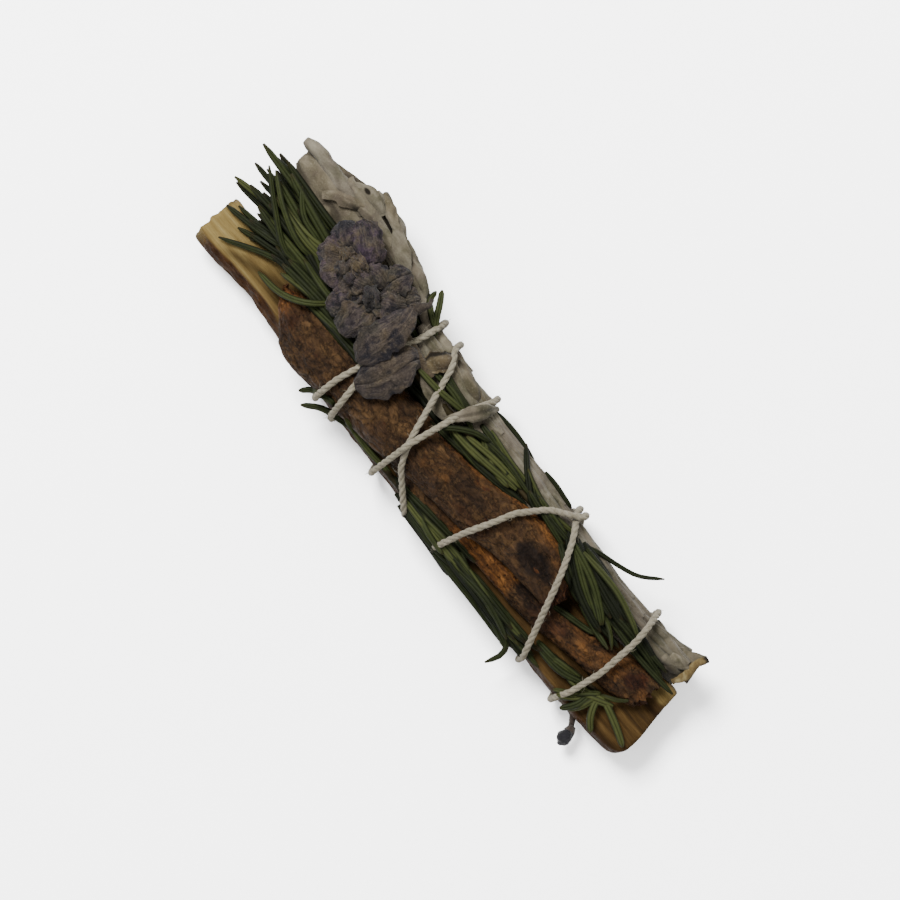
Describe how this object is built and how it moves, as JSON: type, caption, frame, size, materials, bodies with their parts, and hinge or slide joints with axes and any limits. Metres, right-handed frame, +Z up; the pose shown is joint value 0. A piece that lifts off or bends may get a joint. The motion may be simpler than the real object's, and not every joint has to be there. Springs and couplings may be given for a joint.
{
  "type": "sage smudge stick",
  "caption": "Dried herb bundle lying down: split wood stick, nested curls of cinnamon bark, white sage roll, rosemary and a larkspur spike, tied with criss-crossed cotton twine.",
  "frame": {"origin": "on the surface the bundle lies on, under the middle of its bounding box", "axes": "+X along the bundle from its leafy head to its cut foot, +Y from the wood stick across to the sage roll, +Z up"},
  "size_m": [0.1024, 0.0326, 0.0173],
  "materials": {
    "palo_wood": "matte",
    "cinnamon_bark": "matte",
    "sage_leaf": "matte",
    "rosemary_needle": "matte",
    "larkspur_petal": "matte",
    "cotton_twine": "matte"
  },
  "bodies": {
    "root": {"palo_santo_stick": "palo_wood", "cinnamon_bark_outer": "cinnamon_bark", "cinnamon_bark_inner": "cinnamon_bark", "white_sage_roll": "sage_leaf", "larkspur_spike": "larkspur_petal", "rosemary_sprig_head": "rosemary_needle", "rosemary_sprig_far": "rosemary_needle", "rosemary_sprig_near": "rosemary_needle", "rosemary_sprig_foot": "rosemary_needle", "larkspur_bud": "larkspur_petal", "twine_wrap": "cotton_twine"}
  },
  "joints": []
}
